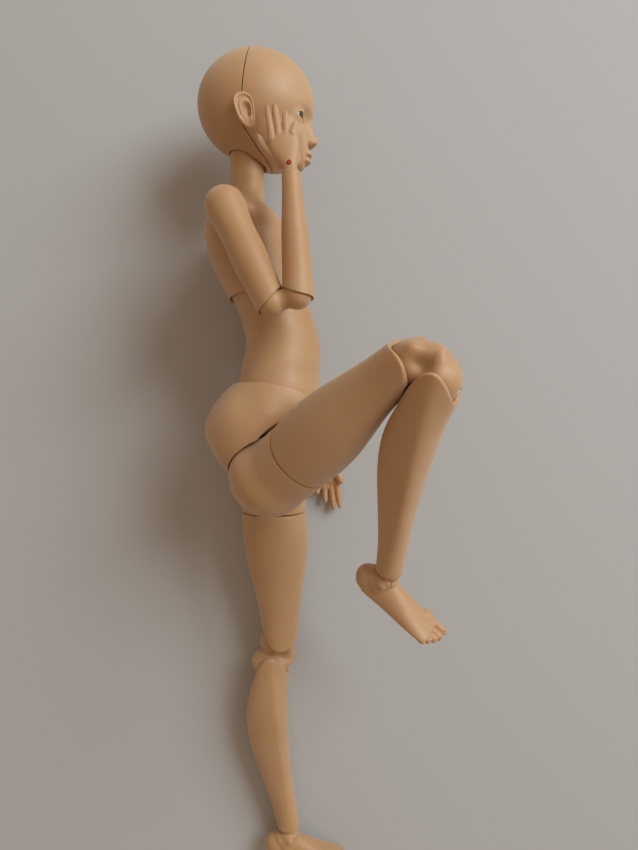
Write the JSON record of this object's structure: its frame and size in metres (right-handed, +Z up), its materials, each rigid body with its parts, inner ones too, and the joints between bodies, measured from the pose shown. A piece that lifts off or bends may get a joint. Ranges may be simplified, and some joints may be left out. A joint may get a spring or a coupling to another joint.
{
  "type": "ball jointed doll",
  "caption": "Unpainted resin ball jointed doll lying on its side, one knee drawn up and a hand at its cheek, bald head with a separate face.",
  "frame": {"origin": "centre of the bounding box at the ground the doll lies on", "axes": "+Y from the feet to the crown, +X the way the body faces, +Z up, towards the doll's right side"},
  "size_m": [0.1296, 0.4696, 0.1454],
  "materials": {
    "resin": "matt cast polyurethane resin, warm tan",
    "white_elastic": "white elastic cord",
    "red_elastic": "red elastic end",
    "steel": "bent steel wire",
    "magnet": "nickel plated magnet",
    "eye": "glossy eye"
  },
  "bodies": {
    "pelvis": {"pelvis": "resin", "pelvis_elastic": "white_elastic"},
    "abdomen": {"abdomen": "resin", "abdomen_elastic": "white_elastic"},
    "chest": {"chest": "resin", "chest_elastic": "white_elastic"},
    "head_hook": {"head_hook": "steel"},
    "head": {"head_back": "resin", "head_faceplate": "resin", "right_eye": "eye", "left_eye": "eye", "crown_magnet_back": "magnet", "crown_magnet_face": "magnet", "right_cheek_magnet_back": "magnet", "right_cheek_magnet_face": "magnet", "left_cheek_magnet_back": "magnet", "left_cheek_magnet_face": "magnet"},
    "right_upper_arm_elastic": {"right_upper_arm_elastic": "white_elastic"},
    "right_upper_arm": {"right_upper_arm": "resin"},
    "right_elbow": {"right_elbow": "resin", "right_elbow_elastic": "white_elastic"},
    "right_forearm": {"right_forearm": "resin", "right_forearm_elastic": "white_elastic"},
    "right_wrist_hook": {"right_wrist_hook": "steel"},
    "right_hand": {"right_hand": "resin", "right_wrist_bead": "red_elastic"},
    "right_hip": {"right_hip": "resin", "right_hip_elastic": "white_elastic"},
    "right_thigh": {"right_thigh": "resin", "right_thigh_elastic": "white_elastic"},
    "right_knee": {"right_knee": "resin", "right_knee_elastic": "white_elastic"},
    "right_shin": {"right_shin": "resin", "right_shin_elastic": "white_elastic"},
    "right_ankle_hook": {"right_ankle_hook": "steel"},
    "right_foot": {"right_foot": "resin"},
    "left_upper_arm_elastic": {"left_upper_arm_elastic": "white_elastic"},
    "left_upper_arm": {"left_upper_arm": "resin"},
    "left_elbow": {"left_elbow": "resin", "left_elbow_elastic": "white_elastic"},
    "left_forearm": {"left_forearm": "resin", "left_forearm_elastic": "white_elastic"},
    "left_wrist_hook": {"left_wrist_hook": "steel"},
    "left_hand": {"left_hand": "resin", "left_wrist_bead": "red_elastic"},
    "left_hip": {"left_hip": "resin", "left_hip_elastic": "white_elastic"},
    "left_thigh": {"left_thigh": "resin", "left_thigh_elastic": "white_elastic"},
    "left_knee": {"left_knee": "resin", "left_knee_elastic": "white_elastic"},
    "left_shin": {"left_shin": "resin", "left_shin_elastic": "white_elastic"},
    "left_ankle_hook": {"left_ankle_hook": "steel"},
    "left_foot": {"left_foot": "resin"}
  },
  "joints": [
    {"name": "waist_bend", "type": "hinge", "parent": "pelvis", "child": "abdomen", "pos_m": [-0.02033, 0.04784, 0.04643], "axis": [0, 0, -1], "range_deg": [-12, 8]},
    {"name": "rib_bend", "type": "hinge", "parent": "abdomen", "child": "chest", "pos_m": [-0.02583, 0.09184, 0.04643], "axis": [0, 0, -1], "range_deg": [-15, 3]},
    {"name": "neck_turn", "type": "hinge", "parent": "chest", "child": "head_hook", "pos_m": [-0.03803, 0.17604, 0.04643], "axis": [0, 1, 0], "range_deg": [-30, 60]},
    {"name": "head_nod", "type": "hinge", "parent": "head_hook", "child": "head", "pos_m": [-0.03803, 0.17604, 0.04643], "axis": [0, 0, 1], "range_deg": [-5, 20]},
    {"name": "right_shoulder_swing", "type": "hinge", "parent": "chest", "child": "right_upper_arm_elastic", "pos_m": [-0.04473, 0.13804, 0.08243], "axis": [0, 0, 1], "range_deg": [-60, 18]},
    {"name": "right_arm_turn", "type": "hinge", "parent": "right_upper_arm_elastic", "child": "right_upper_arm", "pos_m": [-0.04473, 0.13804, 0.08243], "axis": [0.4216, -0.8879, 0.184], "range_deg": [-10, 60]},
    {"name": "right_elbow_upper", "type": "hinge", "parent": "right_upper_arm", "child": "right_elbow", "pos_m": [-0.02112, 0.08832, 0.09273], "axis": [-0.1553, 0.1292, 0.9794], "range_deg": [-75, 0]},
    {"name": "right_elbow_lower", "type": "hinge", "parent": "right_elbow", "child": "right_forearm", "pos_m": [-0.00867, 0.09175, 0.09426], "axis": [-0.1553, 0.1292, 0.9794], "range_deg": [-75, 0]},
    {"name": "right_wrist_turn", "type": "hinge", "parent": "right_forearm", "child": "right_wrist_hook", "pos_m": [-0.01215, 0.15404, 0.08549], "axis": [-0.0553, 0.9887, -0.1392], "range_deg": [-90, 90]},
    {"name": "right_wrist_bend", "type": "hinge", "parent": "right_wrist_hook", "child": "right_hand", "pos_m": [-0.01215, 0.15404, 0.08549], "axis": [-0.9711, -0.2385, 0], "range_deg": [-20, 15]},
    {"name": "right_hip_flex", "type": "hinge", "parent": "pelvis", "child": "right_hip", "pos_m": [-0.02333, 0.00384, 0.07043], "axis": [0, 0, 1], "range_deg": [-130, 5]},
    {"name": "right_thigh_turn", "type": "hinge", "parent": "right_hip", "child": "right_thigh", "pos_m": [-0.02333, 0.00384, 0.07043], "axis": [0.6212, 0.5102, 0.5948], "range_deg": [-60, 40]},
    {"name": "right_knee_upper", "type": "hinge", "parent": "right_thigh", "child": "right_knee", "pos_m": [0.04065, 0.0564, 0.1317], "axis": [-0.4912, -0.3379, 0.8028], "range_deg": [0, 60]},
    {"name": "right_knee_lower", "type": "hinge", "parent": "right_knee", "child": "right_shin", "pos_m": [0.05108, 0.04836, 0.13469], "axis": [-0.4912, -0.3379, 0.8028], "range_deg": [0, 75]},
    {"name": "right_ankle_turn", "type": "hinge", "parent": "right_shin", "child": "right_ankle_hook", "pos_m": [0.03597, -0.04192, 0.08745], "axis": [-0.1467, -0.8764, -0.4587], "range_deg": [-40, 40]},
    {"name": "right_ankle_bend", "type": "hinge", "parent": "right_ankle_hook", "child": "right_foot", "pos_m": [0.03597, -0.04192, 0.08745], "axis": [-0.4912, -0.3379, 0.8028], "range_deg": [-5, 30]},
    {"name": "left_shoulder_swing", "type": "hinge", "parent": "chest", "child": "left_upper_arm_elastic", "pos_m": [-0.04473, 0.13804, 0.01043], "axis": [0, 0, 1], "range_deg": [-3, 5]},
    {"name": "left_arm_turn", "type": "hinge", "parent": "left_upper_arm_elastic", "child": "left_upper_arm", "pos_m": [-0.04473, 0.13804, 0.01043], "axis": [-0.3254, 0.9449, 0.0349], "range_deg": [-30, 45]},
    {"name": "left_elbow_upper", "type": "hinge", "parent": "left_upper_arm", "child": "left_elbow", "pos_m": [-0.02651, 0.08513, 0.00848], "axis": [0, -0.0369, 0.9993], "range_deg": [-4, 70]},
    {"name": "left_elbow_lower", "type": "hinge", "parent": "left_elbow", "child": "left_forearm", "pos_m": [-0.02185, 0.073, 0.00803], "axis": [0, -0.0369, 0.9993], "range_deg": [-4, 70]},
    {"name": "left_wrist_turn", "type": "hinge", "parent": "left_forearm", "child": "left_wrist_hook", "pos_m": [0.00275, 0.01504, 0.00589], "axis": [0.3905, -0.92, -0.034], "range_deg": [-90, 90]},
    {"name": "left_wrist_bend", "type": "hinge", "parent": "left_wrist_hook", "child": "left_hand", "pos_m": [0.00275, 0.01504, 0.00589], "axis": [0.9744, 0.2246, 0.0083], "range_deg": [-20, 20]},
    {"name": "left_hip_flex", "type": "hinge", "parent": "pelvis", "child": "left_hip", "pos_m": [-0.02333, 0.00384, 0.02243], "axis": [0, 0, 1], "range_deg": [-12, 22]},
    {"name": "left_thigh_turn", "type": "hinge", "parent": "left_hip", "child": "left_thigh", "pos_m": [-0.02333, 0.00384, 0.02243], "axis": [0, -0.9986, -0.0523], "range_deg": [-60, 60]},
    {"name": "left_knee_upper", "type": "hinge", "parent": "left_thigh", "child": "left_knee", "pos_m": [-0.02333, -0.09901, 0.01704], "axis": [0, 0.0523, -0.9986], "range_deg": [-12, 70]},
    {"name": "left_knee_lower", "type": "hinge", "parent": "left_knee", "child": "left_shin", "pos_m": [-0.02705, -0.11197, 0.01636], "axis": [0, 0.0523, -0.9986], "range_deg": [-10, 75]},
    {"name": "left_ankle_turn", "type": "hinge", "parent": "left_shin", "child": "left_ankle_hook", "pos_m": [-0.01628, -0.21427, 0.011], "axis": [0.1045, -0.9932, -0.052], "range_deg": [-40, 40]},
    {"name": "left_ankle_bend", "type": "hinge", "parent": "left_ankle_hook", "child": "left_foot", "pos_m": [-0.01628, -0.21427, 0.011], "axis": [0, -0.0523, 0.9986], "range_deg": [-10, 30]}
  ]
}
